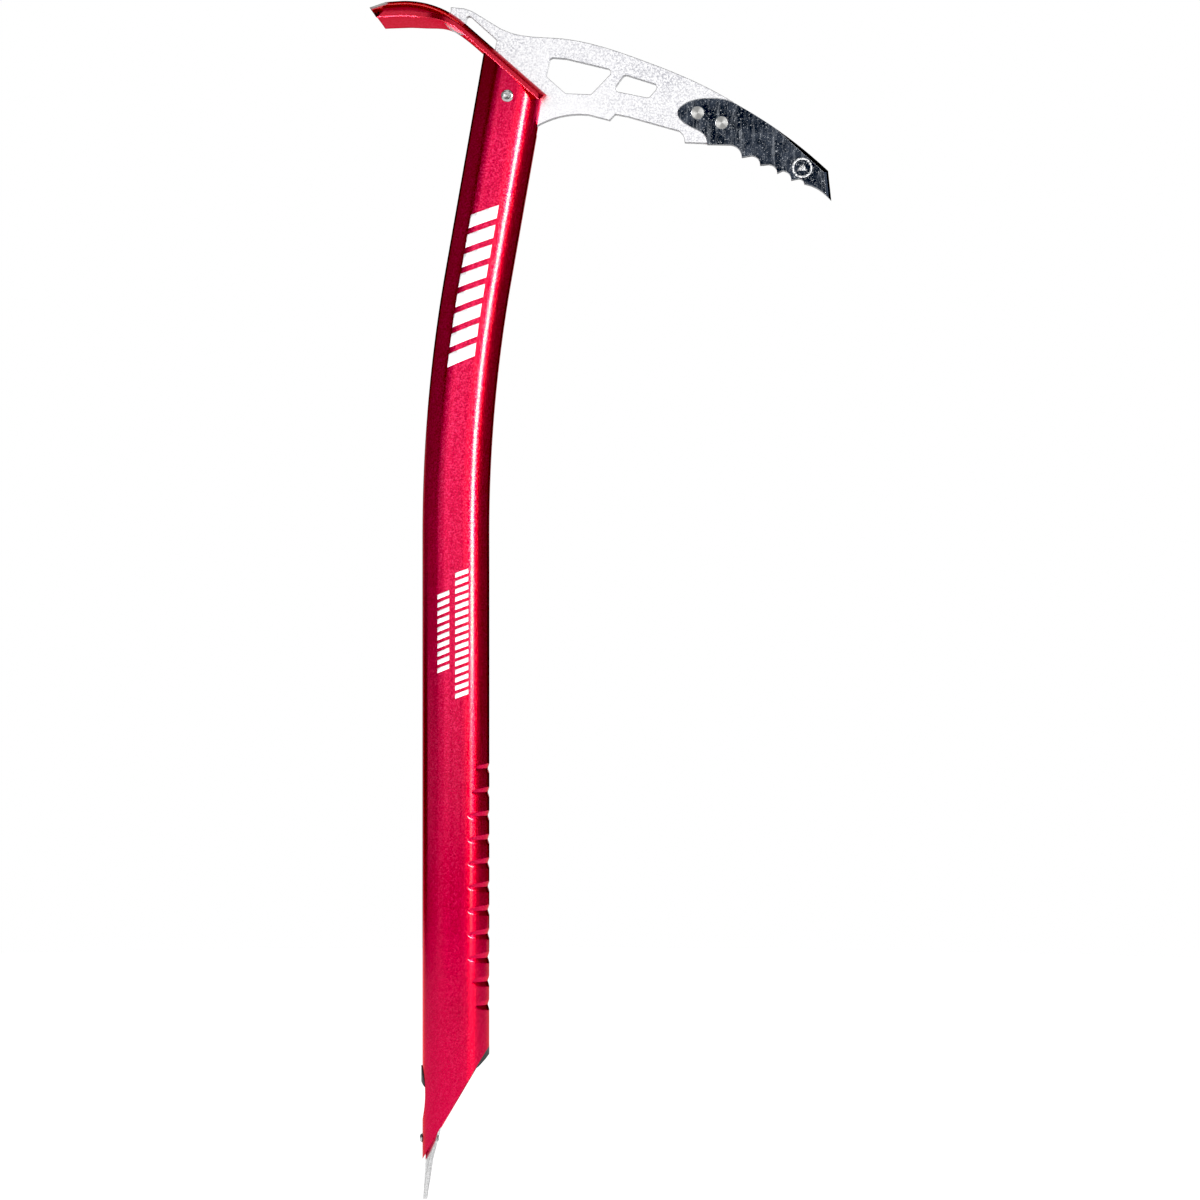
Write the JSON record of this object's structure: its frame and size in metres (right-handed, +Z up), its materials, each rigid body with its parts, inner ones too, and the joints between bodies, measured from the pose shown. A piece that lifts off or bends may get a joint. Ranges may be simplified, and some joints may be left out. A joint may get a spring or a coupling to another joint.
{
  "type": "ice axe",
  "caption": "Light mountaineering ice axe with a bent oval shaft, a pierced head with an adze plate, a toothed steel pick and a steel spike.",
  "frame": {"origin": "the point of the spike", "axes": "+Z up along the lower shaft, +X towards the pick, Y across the head"},
  "size_m": [0.1925, 0.0356, 0.5],
  "materials": {
    "shaft_anodised": "red anodised aluminium, satin",
    "head_aluminium": "tumbled, fine speckle",
    "pick_steel": "polished stainless steel with fine scratches",
    "pick_rivet": "turned flush",
    "adze_anodised": "red anodised aluminium, bare ground edge",
    "head_rivet": "bright, domed",
    "filler_nylon": "moulded",
    "spike_steel": "polished stainless steel",
    "spike_rivet": "bright, domed",
    "rivet_stem": "plain",
    "plug_plastic": "moulded, satin"
  },
  "bodies": {
    "root": {"shaft": "shaft_anodised", "head_blade": "head_aluminium", "pick_plate": "pick_steel", "pick_rivet_rear": "pick_rivet", "pick_rivet_front": "pick_rivet", "adze_plate": "adze_anodised", "head_rivet": "head_rivet", "tang_filler_near": "filler_nylon", "tang_filler_far": "filler_nylon", "spike_plate": "spike_steel", "spike_rivet": "spike_rivet", "spike_rivet_stem": "rivet_stem", "end_plug": "plug_plastic"}
  },
  "joints": []
}
